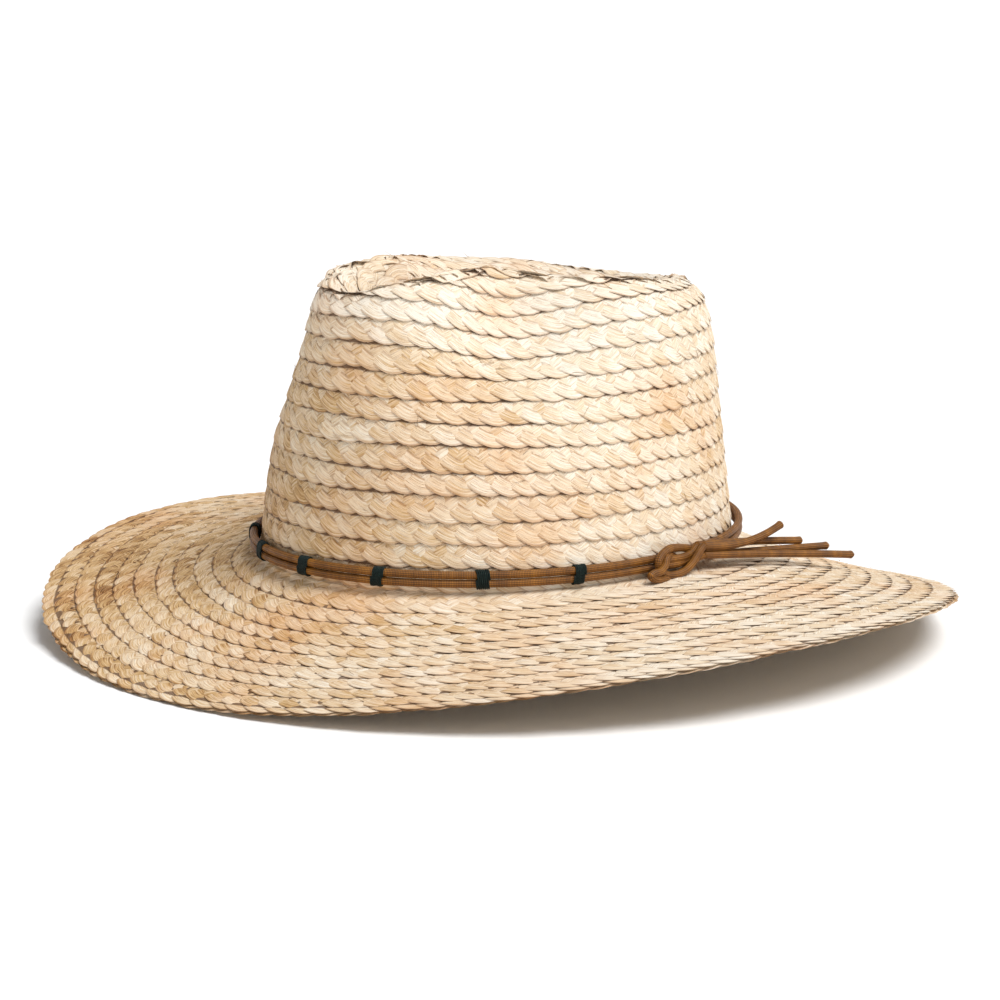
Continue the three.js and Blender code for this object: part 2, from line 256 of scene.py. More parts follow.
# %% [markdown]
# ## Meshes from whole arrays
#
# Cords, threads and straw strands are all the same thing: a profile carried along a path. A curve
# object with a bevel would do for one of them. `sweep` works out many at once, flat or round, and
# leaves a mesh with its map. It takes the middle line of every tube, the direction to its side and
# the direction of its upper face. The map runs along the tube in millimetres and round it from 0
# to 1.

# %% A profile carried along many paths
def four_cornered(near, far, low, high):
    """Map of polygons that reach from near to far along and from low to high across."""
    return np.stack([near, low, far, low, far, high, near, high], axis=-1).reshape(-1, 4, 2)


def sweep(centre, side, lift, sides, along):
    """Corners at centre - cos(turn) * side + sin(turn) * lift, for each ring of each tube.

    centre, side and lift are arrays of tubes x rings x 3, along is tubes x rings.
    """
    tubes, rings = centre.shape[:2]
    turn = 2 * np.pi * np.arange(sides) / sides
    corners = (
        centre[:, :, None, :]
        - np.cos(turn)[:, None] * side[:, :, None, :]
        + np.sin(turn)[:, None] * lift[:, :, None, :]
    )
    number = np.arange(tubes * rings * sides).reshape(tubes, rings, sides)
    ahead = np.roll(number, -1, axis=2)
    walls = np.stack([number[:, :-1], number[:, 1:], ahead[:, 1:], ahead[:, :-1]], axis=-1)
    caps = np.concatenate([number[:, 0], number[:, -1, ::-1]])
    near = np.broadcast_to(along[:, :-1, None], walls.shape[:3])
    far = np.broadcast_to(along[:, 1:, None], walls.shape[:3])
    low = np.broadcast_to(np.arange(sides) / sides, walls.shape[:3]) + np.arange(tubes)[:, None, None]
    wall_map = four_cornered(near, far, low, low + 1 / sides)
    cap_along = np.broadcast_to(np.concatenate([along[:, 0], along[:, -1]])[:, None], caps.shape)
    cap_map = np.stack([cap_along, np.zeros(caps.shape)], axis=-1)
    return corners.reshape(-1, 3), [walls.reshape(-1, 4), caps], [wall_map, cap_map]


def directions(centre, reference):
    """Side and upper direction along each path: the reference, made square to the path."""
    ahead = np.gradient(centre, axis=-2)
    ahead = ahead / np.linalg.norm(ahead, axis=-1, keepdims=True)
    side = np.cross(reference, ahead)
    side = side / np.linalg.norm(side, axis=-1, keepdims=True)
    return side, np.cross(ahead, side)


def length_along(centre):
    """Distance from the start of each path to each of its points."""
    steps = np.linalg.norm(np.diff(centre, axis=-2), axis=-1)
    return np.concatenate([np.zeros_like(steps[..., :1]), np.cumsum(steps, axis=-1)], axis=-1)


# %% A mesh object that rides with the hat
def new_piece(name, corners, polygons, maps, finish, slot, values=None, edge_angle=None):
    """Object with its place in its mesh. polygons and maps are lists of arrays that match, and
    values give each attribute as a number for every corner, or one number for all of them."""
    sizes = np.concatenate([np.full(len(group), group.shape[1]) for group in polygons])
    numbers = np.concatenate([group.ravel() for group in polygons])
    mesh = bpy.data.meshes.new(name)
    mesh.vertices.add(len(corners))
    mesh.vertices.foreach_set("co", in_scene(corners).astype(np.float32).ravel())
    mesh.loops.add(len(numbers))
    mesh.loops.foreach_set("vertex_index", numbers.astype(np.int32))
    mesh.polygons.add(len(sizes))
    starts = np.concatenate([[0], np.cumsum(sizes)[:-1]])
    mesh.polygons.foreach_set("loop_start", starts.astype(np.int32))
    mesh.update(calc_edges=True)
    flat_map = np.concatenate([group.reshape(-1) for group in maps])
    mesh.uv_layers.new(name="along").data.foreach_set("uv", flat_map.astype(np.float32))
    for key, numbers_there in (values or {}).items():
        attribute = mesh.attributes.new(key, "FLOAT", "POINT")
        attribute.data.foreach_set("value", np.resize(numbers_there, len(corners)).astype(np.float32))
    mesh.shade_smooth()
    if edge_angle is not None:
        mesh.set_sharp_from_angle(angle=edge_angle)
    mesh.materials.append(finish)
    piece = new_object(name, mesh)
    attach(piece, "root")
    print(name, "has", int((sizes - 2).sum()), "triangles")
    return piece


# %% Round tubes
def tube_piece(name, centre, up, radius, sides, finish, slot, values=None):
    """Circles of a radius, square to each path. The direction up sets where their corners start."""
    side, lift = directions(centre, up)
    tubes = sweep(centre, side * radius, lift * radius, sides, length_along(centre))
    return new_piece(name, *tubes, finish, slot, values)


# %% [markdown]
# ## Waxed cord
#
# The band is two lengths of waxed cotton cord, 3 mm thick. Its skin is a fine round plait, too
# fine to model at this size, so it is drawn by the finish: two sets of waves that run round the
# cord in opposite directions cross each other, and their product stands proud like the plait.
# The same product darkens the colour in the hollows, a painted shade.

# %% The cord's finish
CORD_RADIUS = 1.5
CORD_SIDES = 16
# The darkest stops are reached in the hollows of the plait, where they are painted shade.
CORD_STOPS = (
    (0.0, paint("160900")), (0.35, paint("4e2b00")), (0.65, paint("8a5506")), (1.0, paint("c48a34")),
)
CORD_WAVES_ALONG = 5.2
CORD_WAVES_AROUND = 37.7
CORD_PATCH_SCALE = 0.16


def cord_finish():
    """Two crossing waves along and round the cord, with painted shade in the hollows between them."""
    finish = Finish("waxed_cord")
    place, along, around = finish.along_and_around()
    to_left = (along * CORD_WAVES_ALONG + around * CORD_WAVES_AROUND).math("SINE")
    to_right = (along * CORD_WAVES_ALONG - around * CORD_WAVES_AROUND).math("SINE")
    skin = to_left * to_right * 0.5 + 0.5
    worn = finish.noise(place, CORD_PATCH_SCALE, 3.0, 0.6)
    # The colour follows the waves, so the hollows are painted darker: painted shade.
    return finish.end({
        "Base Color": finish.ramp(CORD_STOPS, skin * 0.55 + worn * 0.75 - 0.14),
        "Roughness": 0.62 - skin * 0.16, "Normal": finish.bump(skin, 0.6, 0.0003),
        "Specular IOR Level": 0.45,
    })


waxed_cord = cord_finish()

# %% [markdown]
# ## The four loose tails
#
# Both cords end in the knot on the wearer's left, and each has two ends, so four tails stick out
# behind it. Waxed cord is stiff: a tail of 50 to 90 mm keeps the direction that the knot gives
# it, and only bends a little. Each tail is a tube along a parabola through three points, which
# are the same points as in the CAD model. The cut ends are bare and a little swollen.

# %% Tails
TAILS = {
    "tail_1": ((94.2, 12.0, 7.4), (96.8, 34.0, 6.2), (97.5, 57.0, 10.6)),
    "tail_2": ((90.8, 12.0, 7.2), (93.2, 42.0, 5.0), (98.0, 70.0, 2.2)),
    "tail_3": ((90.8, 12.0, 3.4), (95.4, 46.0, 1.1), (102.5, 82.0, -0.8)),
    "tail_4": ((94.2, 12.0, 3.8), (100.2, 50.0, 0.0), (107.0, 93.0, -5.4)),
}
TAIL_RINGS = 60
TAIL_UP = (0.1, 0.05, 1.0)
CUT_SWELL = 0.1
CUT_SWELL_PLACE = 0.9
CUT_SWELL_REACH = 1.2
CUT_ROUNDING = 0.7
CUT_THINNING = 0.75


def through_three(points, count):
    """Parabola through three points, which passes the middle one at its share of the chords."""
    start, middle, end = np.asarray(points, dtype=float)
    first = np.linalg.norm(middle - start)
    share = first / (first + np.linalg.norm(end - middle))
    s = np.linspace(0, 1, count)[:, None]
    return (
        start * (s - share) * (s - 1) / share
        + middle * s * (s - 1) / (share * (share - 1))
        + end * s * (s - share) / (1 - share)
    )


def tail_piece(name):
    """One tail: a round tube whose end swells a little and is rounded off."""
    path = through_three(TAILS[name], TAIL_RINGS) + (0.0, 0.0, FOOT_HEIGHT)
    along = length_along(path)
    left = along[-1] - along
    swell = CUT_SWELL * np.exp(-((left - CUT_SWELL_PLACE) / CUT_SWELL_REACH) ** 2)
    near_cut = 1 - np.clip(left / CUT_ROUNDING, 0, 1)
    radius = CORD_RADIUS * (1 + swell) * np.sqrt(1 - near_cut ** 2 * CUT_THINNING)
    piece = tube_piece(
        f"{name}_cord", path[None], TAIL_UP, radius[:, None], CORD_SIDES, waxed_cord, "cord")
    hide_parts(name)
    print(name, "is", round(float(along[-1]), 1), "mm long")


for tail_name in TAILS:
    tail_piece(tail_name)

# %% [markdown]
# ## The shape of the crown
#
# The straw has to lie on the same surface as the CAD crown, so this cell repeats the crown's
# formula. Going up, the wall leans in by a share of the crest's inset, and two pinches push it in
# at the front. Beyond the crest the surface turns down into the teardrop dent.

# %% Tables of the crown
CREST = {
    "height": (106.0, 109.5, 112.0, 109.0, 108.0, 105.0, 104.0, 101.0, 99.5),
    "inset": (17.0, 20.0, 24.5, 23.0, 23.5, 23.5, 24.0, 24.0, 24.0),
}
WALL = {
    "rise": (0.0, 0.12, 0.3, 0.45, 0.6, 0.75, 0.87, 0.95, 1.0),
    "lean": (0.0, 0.06, 0.16, 0.24, 0.32, 0.4, 0.51, 0.69, 1.0),
    "pinch": (0.0, 0.0, 0.0, 0.1, 0.36, 0.78, 1.03, 1.05, 1.0),
}
DENT = {"drop": (0.0, 0.1, 0.42, 0.74, 0.92, 0.985, 1.0)}
CREST_STEP = 22.5
WALL_LEVELS = 8
DENT_LEVELS = 6
DENT_LINE_HALF_LENGTH = 17.0
DENT_FLOOR_FRONT = 80.0
DENT_FLOOR_BACK = 74.0
DENT_FLOOR_REACH = 60.0
PINCH_ANGLE = 50.0
PINCH_SPREAD_FRONT = 17.0
PINCH_SPREAD_BACK = 24.0
PINCH_DEPTH = 25.0
FOLD_SPREAD = 9.0
FOLD_DEPTH = 9.0
FOLD_START = 7.44
FOLD_LENGTH = 4.8


def between(column, place):
    """Value between the rows of a column, on a cubic curve through the two rows on each side."""
    values = np.asarray(column)
    values = np.concatenate([[2 * values[0] - values[1]], values, [2 * values[-1] - values[-2]]])
    row = np.minimum(np.floor(place).astype(int), len(column) - 2)
    share = place - row
    before, near, far, after = (values[row + k] for k in range(4))
    slope = (far - before) / 2
    bend = before - 2.5 * near + 2 * far - after / 2
    twist = (after - before) / 2 + 1.5 * (near - far)
    return near + slope * share + bend * share ** 2 + twist * share ** 3


# %% The crown's outer face
def crown_surface(angle, level):
    """Foot ellipse less the inset, at a height of rise times crest, less the dent and the fold."""
    turn = np.abs((np.degrees(angle) + 180) % 360 - 180)
    wall = np.minimum(level, WALL_LEVELS)
    dent = np.maximum(level - WALL_LEVELS, 0)
    height = between(CREST["height"], turn / CREST_STEP)
    spread = np.where(turn < PINCH_ANGLE, PINCH_SPREAD_FRONT, PINCH_SPREAD_BACK)
    pinch = PINCH_DEPTH * np.exp(-((turn - PINCH_ANGLE) / spread) ** 2 / 2)
    inset = between(CREST["inset"], turn / CREST_STEP) * between(WALL["lean"], wall)
    inset = inset + pinch * between(WALL["pinch"], wall)
    inwards = dent / DENT_LEVELS
    middle = -DENT_LINE_HALF_LENGTH * np.cos(angle)
    x = (FOOT_HALF_WIDTH - inset) * np.sin(angle) * (1 - inwards)
    y = middle + (-(FOOT_HALF_LENGTH - inset) * np.cos(angle) - middle) * (1 - inwards)
    floor_share = (y + DENT_FLOOR_REACH) / (2 * DENT_FLOOR_REACH)
    floor = DENT_FLOOR_FRONT + (DENT_FLOOR_BACK - DENT_FLOOR_FRONT) * floor_share
    z = height * between(WALL["rise"], wall) - (height - floor) * between(DENT["drop"], dent)
    fold_place = np.clip((level - FOLD_START) / FOLD_LENGTH, 0, 1)
    z = z - FOLD_DEPTH * np.exp(-(turn / FOLD_SPREAD) ** 2 / 2) * np.sin(np.pi * fold_place)
    z = z + foot_height(angle) * (1 - wall / WALL_LEVELS) + FOOT_HEIGHT * wall / WALL_LEVELS
    return np.stack(np.broadcast_arrays(x, y, z), axis=-1)


print("the crest at the back is at", crown_surface(np.array(np.pi), np.array(WALL_LEVELS)).round(1))

# %% [markdown]
# ## The shape of the brim
#
# The brim falls from the foot of the crown, quickly at first and then flatter, and its edge lies
# lower at the front and the back than at the sides, like a saddle. It is measured from the rim
# inwards, so that on the brim as on the crown a higher row number lies nearer the tip.

# %% The brim's upper face
BRIM_WIDTH = 86.4
BRIM_WIDTH_FRONT_BACK = -2.6
BRIM_WIDTH_SADDLE = -5.4
BRIM_DROP = 21.0
BRIM_DROP_SADDLE = 12.2
BRIM_CURVE_POWER = 0.63
BRIM_CURVE_START = 0.03
CLEARANCE = 0.3


def brim_surface(angle, level):
    """Ellipse at a share of the width, at a height that falls by that share to a power."""
    share = 1 - level
    width = BRIM_WIDTH + BRIM_WIDTH_FRONT_BACK * np.cos(angle) + BRIM_WIDTH_SADDLE * np.cos(2 * angle)
    start = BRIM_CURVE_START ** BRIM_CURVE_POWER
    end = (1 + BRIM_CURVE_START) ** BRIM_CURVE_POWER
    fall = ((share + BRIM_CURVE_START) ** BRIM_CURVE_POWER - start) / (end - start)
    edge = FOOT_HEIGHT - BRIM_DROP - BRIM_DROP_SADDLE * np.cos(2 * angle)
    z = foot_height(angle) + (edge - foot_height(angle)) * fall - CLEARANCE
    x = (FOOT_HALF_WIDTH + share * width) * np.sin(angle)
    y = -(FOOT_HALF_LENGTH + share * width) * np.cos(angle)
    return np.stack(np.broadcast_arrays(x, y, z), axis=-1)


print("the brim's front edge is at", brim_surface(np.array(0.0), np.array(0.0)).round(1))

# %% [markdown]
# ## Rows of plait on a surface
#
# The maker sews rows at an even distance up the cone, so a row number has to become a distance
# measured on the surface. `Rows` measures every second degree's line from the bottom to the top,
# finds the level at which each row lies, and keeps a grid of points, of directions square to the
# surface, and of directions towards the next row. `at` blends the four nearest grid points.

# %% A grid of rows
GRID_ANGLES = 180
GRID_STEPS = 8
LEVEL_SAMPLES = 500
POLE_STEPS = 3
FAR_APART = 1000.0
TINY = 1e-9


class Rows:
    """Rows laid on a surface between two levels, counted from its lower or outer edge."""

    def __init__(self, surface, top_level, count, even_count=0, even_pitch=0.0, pole=False):
        angle = np.linspace(0, 2 * np.pi, GRID_ANGLES, endpoint=False)[:, None]
        level = np.linspace(0, top_level, LEVEL_SAMPLES)[None, :]
        arc = length_along(surface(angle, level))
        row = np.arange(count * GRID_STEPS + 1)[None, :] / GRID_STEPS
        whole = arc[:, -1:]
        laid = even_count * even_pitch
        rest = laid + np.clip((row - even_count) / (count - even_count), 0, 1) * (whole - laid)
        wanted = np.minimum(np.where(row < even_count, row * even_pitch, rest), whole)
        apart = FAR_APART * np.arange(GRID_ANGLES)[:, None]
        levels = np.interp(wanted + apart, (arc + apart).ravel(), np.tile(level[0], GRID_ANGLES))
        self.count = count
        self.points = surface(angle, levels)
        around = np.roll(self.points, -1, axis=0) - np.roll(self.points, 1, axis=0)
        self.inwards = np.gradient(self.points, axis=1)
        self.normals = np.cross(around, self.inwards)
        self.pitch = (whole - laid) / (count - even_count)
        if pole:
            self.normals[:, -POLE_STEPS:] = UP
        self.inwards = self.unit(self.inwards)
        self.normals = self.unit(self.normals)

    @staticmethod
    def unit(vectors):
        """Each vector over its own length."""
        return vectors / np.maximum(np.linalg.norm(vectors, axis=-1, keepdims=True), TINY)

    def at(self, angle, row):
        """Point, direction square to the surface and direction inwards, at an angle and a row."""
        column = (np.degrees(angle) % 360) * GRID_ANGLES / 360
        line = np.clip(row, 0, self.count) * GRID_STEPS
        first = np.floor(column).astype(int) % GRID_ANGLES
        second = (first + 1) % GRID_ANGLES
        low = np.minimum(np.floor(line).astype(int), self.count * GRID_STEPS - 1)
        across = (column - np.floor(column))[..., None]
        upwards = (line - low)[..., None]
        found = []
        for grid in (self.points, self.normals, self.inwards):
            lower = grid[first, low] * (1 - across) + grid[second, low] * across
            upper = grid[first, low + 1] * (1 - across) + grid[second, low + 1] * across
            found.append(lower * (1 - upwards) + upper * upwards)
        return found[0], self.unit(found[1]), self.unit(found[2])


CROWN_ROWS = 21
CROWN_EVEN_ROWS = 12
CROWN_PITCH = 9.0
BRIM_ROWS = 11
crown_rows = Rows(
    crown_surface, WALL_LEVELS + DENT_LEVELS, CROWN_ROWS, CROWN_EVEN_ROWS, CROWN_PITCH, pole=True)
brim_rows = Rows(brim_surface, 1.0, BRIM_ROWS)
for part, rows in (("tip", crown_rows), ("brim", brim_rows)):
    print(part, "rows are", rows.pitch.min().round(1), "to", rows.pitch.max().round(1), "mm apart")

# %% [markdown]
# ## Five strands that weave
#
# In a flat plait every strand runs from one edge to the other and back, at about 30 degrees, so
# its place across the plait is a rounded zigzag along it. Five strands follow the same zigzag, a
# fifth of it apart. Each goes over one and under one, so the ones that lie on top change at three
# turnovers across the plait. That leaves small squares inside it and long cells at its edges.
#
# The rows climb to the left, as in the picture. The outer edge of each row stands proud, over the
# inner edge of the row before. There the straw below is in deep shade, so each strand also keeps
# how far it reaches beyond the line where the next row begins. No strand is even: its place, its
# width, its height and its tone wander, each by an amount and over a length of its own.

# %% Soft random curves
def wander(along, spacing, seed):
    """A seeded random number from -1 to 1 at every spacing, joined by smooth steps."""
    count = int(np.max(along) / spacing) + 2
    knots = np.random.default_rng(seed).uniform(-1, 1, count)
    place = along / spacing
    first = np.floor(place).astype(int)
    share = place - first
    share = share * share * (3 - 2 * share)
    return knots[first] * (1 - share) + knots[first + 1] * share


# %% The zigzag and its turnovers
STRANDS = 5
PERIOD = 7.8
TURN_SHARPNESS = 0.82
TURNOVERS = (0.3, 0.5, 0.7)
TURNOVER_SOFTNESS = 0.05
WEAVE_HEIGHT = 0.23
WEAVE_SOFTNESS = 0.08


def across_plait(phase):
    """From 0 at the outer edge to 1 at the inner one: half plus an arc sine of a damped sine."""
    damped = TURN_SHARPNESS * np.sin(2 * np.pi * phase)
    return 0.5 + np.arcsin(damped) / (2 * math.asin(TURN_SHARPNESS))


def weave_height(phase, v):
    """The weave's height times a smooth step at each turnover times the strand's direction, which
    is 1 inwards, -1 outwards, and passes through 0 at the edges."""
    steps = [np.tanh((place - v) / TURNOVER_SOFTNESS) for place in TURNOVERS]
    direction = np.cos(2 * np.pi * phase)
    return WEAVE_HEIGHT * np.prod(steps, axis=0) * direction / np.sqrt(direction ** 2 + WEAVE_SOFTNESS)


print("the strands lie across the plait at", across_plait(np.arange(STRANDS) / STRANDS).round(2))

# %% The straw's tones
# The side and tip tones are painted light and shade: the straw is made paler on the side towards the
# light and on the tip, and darker on the side away from it.
BASE_TONE = 0.61
LIT_SIDE = 80.0
SHADED_SIDE = -50.0
SIDE_REACH = 45.0
SIDE_LIGHT_PAINT = 0.22
SHADED_SIDE_MORE = 1.15
TIP_START = 9.6
TIP_FADE = 2.0
TIP_LIGHT_PAINT = 1.4


def painted_side_light(turns, row, tip_start):
    """A bell curve round the lit side less one round the shaded side, which fades into the tip's own
    value over a few rows: painted light and shade, paler towards the light and on the tip, darker on
    the side away from it."""
    degrees = 360 * np.asarray(turns)
    from_lit, from_shaded = ((degrees - side + 180) % 360 - 180 for side in (LIT_SIDE, SHADED_SIDE))
    sides = np.exp(-(from_lit / SIDE_REACH) ** 2) - SHADED_SIDE_MORE * np.exp(-(from_shaded / SIDE_REACH) ** 2)
    tip = np.clip((row - tip_start) / TIP_FADE, 0, 1)
    return sides * (1 - tip) + TIP_LIGHT_PAINT * tip


print("paleness of the wearer's left and right:", painted_side_light([0.25, -0.25], 0, TIP_START).round(2))

# %% The route of a plait and its strands
START_TURN = 0.5
CLIMB_TO_LEFT = -1.0
ROUTE_SAMPLES = 720
STRAND_STEP = 1.5
STRAND_HALF_WIDTH = 2.8
PLAIT_WIDTH = 11.0
WEAVE_DEPTH = 0.5
DOUBLED_LIFT = 0.7
# This narrows the painted shade under the next row on the side towards the light and widens it on the
# side away from it.
LIT_SIDE_LESS_LIP_SHADE = 0.5
WANDERS = {
    "phase": (0.02, 31.0, 0), "breadth": (0.07, 47.0, 20), "sway": (0.05, 60.0, 21),
    "short_sway": (0.045, 17.0, 22), "height": (0.1, 9.0, 30), "width": (0.17, 17.0, 40),
    "strand_tone": (0.19, 38.0, 50), "tone": (0.1, 160.0, 60), "short_tone": (0.08, 5.0, 61),
}


def route(lowest, highest, rounds, level=1.0):
    """Turns and row numbers: level for some turns, then one row up in each, then level again."""
    turns = np.linspace(START_TURN, START_TURN + rounds, int(rounds * ROUTE_SAMPLES))
    return turns, np.clip(turns - START_TURN - level + lowest, lowest, highest)


def plait(rows, path, seed, spread, outer_lift, inner_lift, drop=WEAVE_DEPTH, tip_start=FAR_APART):
    """Row number along a plait that follows a route, and the arrays of its strands.

    Row: the route's row plus the spread times the place across, from the middle of the plait.
    Height: a line from the outer to the inner lift, plus the weave, plus a lift where the second
    round lies on the first, which fades towards the inner edge, because the third round lies there.
    """
    def one(key):
        """A row of the table: its amount times a curve for the whole plait."""
        amount, spacing, number = WANDERS[key]
        return amount * wander(along, spacing, seed + number)

    def each(key):
        """The same with a curve of its own for each strand."""
        amount, spacing, number = WANDERS[key]
        return amount * np.stack([wander(along, spacing, seed + number + k) for k in range(STRANDS)])

    turns, row_numbers = path
    turns_along = length_along(rows.at(CLIMB_TO_LEFT * 2 * np.pi * turns, row_numbers)[0])
    along = np.arange(0, turns_along[-1], STRAND_STEP)
    around = np.interp(along, turns_along, turns)
    spiral = np.interp(along, turns_along, row_numbers)
    phase = along / (STRANDS * PERIOD) + np.arange(STRANDS)[:, None] / STRANDS + each("phase")
    v = across_plait(phase)
    breadth = spread * (1 + one("breadth"))
    middle = spiral + one("sway") + one("short_sway")
    row = middle + (v - 0.5) * breadth
    points, normals, inwards = rows.at(CLIMB_TO_LEFT * 2 * np.pi * around, row)
    doubled = np.where(around > START_TURN + 1, np.clip(1 - 2 * (spiral - row_numbers[0]), 0, 1), 0)
    height = outer_lift + (inner_lift - outer_lift) * v + weave_height(phase, v)
    height = height + each("height") + DOUBLED_LIFT * doubled * (1 - v)
    pitch = float(np.mean(rows.pitch))
    lip = middle - breadth / 2 - STRAND_HALF_WIDTH / pitch
    next_lip = np.interp(around + 1, around, lip, right=FAR_APART)
    # Painted light and shade by side and on the tip, added to the strand's own tone below.
    light_by_side = painted_side_light(CLIMB_TO_LEFT * around, spiral, tip_start)
    tone = BASE_TONE + each("strand_tone") + one("tone") + one("short_tone") + SIDE_LIGHT_PAINT * light_by_side
    # The painted shade under the next row is narrowed towards the light and widened away from it.
    beyond = (row - next_lip) * pitch - LIT_SIDE_LESS_LIP_SHADE * light_by_side
    centre = points + (height - drop)[..., None] * normals
    reference = rows.unit(normals - (inner_lift - outer_lift) / PLAIT_WIDTH * inwards)
    width = STRAND_HALF_WIDTH * (1 + each("width"))
    return spiral, (centre, reference, inwards, np.broadcast_to(along, v.shape), width, tone, beyond)


# %% A piece of plait
STRAND_HALF_THICKNESS = 0.17
STRAND_EDGE_ANGLE = math.radians(70)
STRAND_CORNERS = np.array((-1.0, 0.0, 1.0, 0.0))
STRAW_LOWEST = 0.05


def plait_piece(name, strands, start=0.0, end=FAR_APART):
    """The part of a plait between two row numbers. Each strand has a corner at each edge and one in
    the middle of each face."""
    spiral, arrays = strands
    kept = np.flatnonzero((spiral >= start) & (spiral <= end))
    centre, reference, inwards, along, width, tone, beyond = (
        array[:, kept[0]:kept[-1] + 1] for array in arrays)
    side, lift = directions(centre, reference)
    side = side * width[..., None]
    corners, polygons, maps = sweep(
        centre, side, lift * STRAND_HALF_THICKNESS, len(STRAND_CORNERS), along)
    corners[:, 2] = np.maximum(corners[:, 2], STRAW_LOWEST)
    slant = np.sum(side * inwards, axis=-1, keepdims=True) * STRAND_CORNERS
    values = {"tone": tone[..., None] + 0 * slant, "beyond": beyond[..., None] + slant}
    return new_piece(name, corners, polygons, maps, raffia, "straw", values, STRAND_EDGE_ANGLE)


# %% [markdown]
# ## Raffia
#
# A raffia strand is a folded leaf: pale, slightly glossy, with fibres along its length. Strands
# differ, from cream to tan, some pinkish, and a few are brown. The tone of each stretch of strand
# is worked out with its mesh and kept in an attribute; it also holds painted light on the side
# towards the light and on the tip, and painted shade on the side away from it. Noise that is
# stretched along the strand draws the fibres in colour, in roughness and in a fine bump.

# %% The straw's finish
RAFFIA_STOPS = (
    (0.0, paint("6b4420")), (0.15, paint("b18651")), (0.33, paint("d4b07c")),
    (0.58, paint("e8cfad")), (0.8, paint("f0dfc5")), (1.0, paint("f8eedd")),
)
FIBRE_STRETCH = (0.09, 17.0, 1.0)
FIBRE_CONTRAST = 1.6
LINE_STRETCH = (0.16, 46.0, 1.0)
LINE_START = 0.56
LINE_SLOPE = 9.0
LINE_SHADE = 0.6
PATCH_SCALE = 26.0
PINK_START = 0.45
PINK_SLOPE = 2.5
PINK_MOST = 0.8
# The edge numbers paint shade into the crevices along the strands' edges; the lip numbers paint the
# deep shade under the next row.
EDGE_START = 0.9
EDGE_SLOPE = 12.0
EDGE_BREAKS = 1.8
EDGE_SHADE = 0.5
LIP_SLOPE = 2.2
LIP_BREAKS = 1.8
LIP_SHADE = 0.8
# The first colour below darkens the strands' edges, a painted shade, and the thin dark fibre lines;
# the last one is the painted shade under the next row.
EDGE_SHADE_AND_LINE_COLOUR = paint("ad7f4d")
PINK_COLOUR = paint("fbe4cf")
LIP_COLOUR = paint("5c3a18")


def straw_finish():
    """Colour from the strand's tone and its fibres, with a pink cast that comes and goes, thin dark
    lines, painted shade at the strand's edges and deep painted shade under the next row."""
    finish = Finish("raffia")
    place, _, around = finish.along_and_around()
    tone, beyond = (
        finish.add("ShaderNodeAttribute", {"attribute_name": name}, None, 2)
        for name in ("tone", "beyond"))
    fibres = finish.noise(finish.stretched(place, FIBRE_STRETCH), 1.0, 4.0, 0.65)
    lines = finish.noise(finish.stretched(place, LINE_STRETCH), 1.0, 2.0)
    patches = finish.noise(finish.add("ShaderNodeTexCoord", None, None, 3), PATCH_SCALE, 2.0)
    dark_lines = ((lines - LINE_START) * LINE_SLOPE).limited()
    # Painted shade in the crevices along each strand's edges, broken here and there by the patches.
    from_face = (around * (2 * math.pi)).math("COSINE").math("ABSOLUTE")
    edge = ((from_face - EDGE_START) * EDGE_SLOPE).limited()
    edge = edge * (patches * EDGE_BREAKS).math("MINIMUM", 1.0)
    shade = (edge * EDGE_SHADE).math("MAXIMUM", dark_lines * LINE_SHADE)
    pink = ((patches - PINK_START) * PINK_SLOPE).limited(0.0, PINK_MOST)
    # Painted shade under the lip of the next row, in broken lines.
    under_lip = ((beyond + (patches - 0.5) * LIP_BREAKS) * LIP_SLOPE).limited()
    colour = finish.ramp(RAFFIA_STOPS, tone + (fibres - 0.5) * FIBRE_CONTRAST)
    colour = finish.darkened(colour, shade, EDGE_SHADE_AND_LINE_COLOUR)
    colour = finish.darkened(colour, pink, PINK_COLOUR)
    colour = finish.darkened(colour, under_lip * LIP_SHADE, LIP_COLOUR)
    return finish.end({
        "Base Color": colour, "Roughness": 0.5 + fibres * 0.3,
        "Normal": finish.bump(fibres + lines * 0.5, 0.9, 0.0006), "Specular IOR Level": 0.35,
    })


raffia = straw_finish()

# %% [markdown]
# ## The crown and the brim in straw
#
# One plait climbs the crown from its foot to the middle of the dent, and another covers the brim
# and starts with two rounds on the rim. The crown's rows are 9 mm apart and show most of the
# plait. The brim's are nearer together, so that each row hides more of the one before and looks
# more like a rope. Each plait is cut into two pieces, which keeps the pieces small.

# %% Plaits of the crown
CROWN_LOWEST = 0.45
CROWN_HIGHEST = 20.65
CROWN_LEVEL = 0.25
CROWN_SPLIT = 10.0
SPLIT_OVERLAP = 0.002
crown_route = route(
    CROWN_LOWEST, CROWN_HIGHEST, CROWN_HIGHEST - CROWN_LOWEST + CROWN_LEVEL, level=CROWN_LEVEL)
crown_strands = plait(
    crown_rows, crown_route, seed=100, spread=1.14, outer_lift=0.72, inner_lift=-0.25,
    tip_start=TIP_START)
crown_side = plait_piece("crown_braid_side", crown_strands, end=CROWN_SPLIT)
plait_piece("crown_braid_top", crown_strands, start=CROWN_SPLIT - SPLIT_OVERLAP)

# %% Plaits of the brim
BRIM_LOWEST = 0.8
BRIM_HIGHEST = 10.7
BRIM_SPLIT = 5.0
brim_route = route(BRIM_LOWEST, BRIM_HIGHEST, BRIM_HIGHEST - BRIM_LOWEST + 1)
brim_strands = plait(
    brim_rows, brim_route, seed=300, spread=1.36, outer_lift=0.38, inner_lift=-0.18, drop=0.85)
brim_outer = plait_piece("brim_braid_outer", brim_strands, end=BRIM_SPLIT)
plait_piece("brim_braid_inner", brim_strands, start=BRIM_SPLIT - SPLIT_OVERLAP)
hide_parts("crown")
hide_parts("brim")

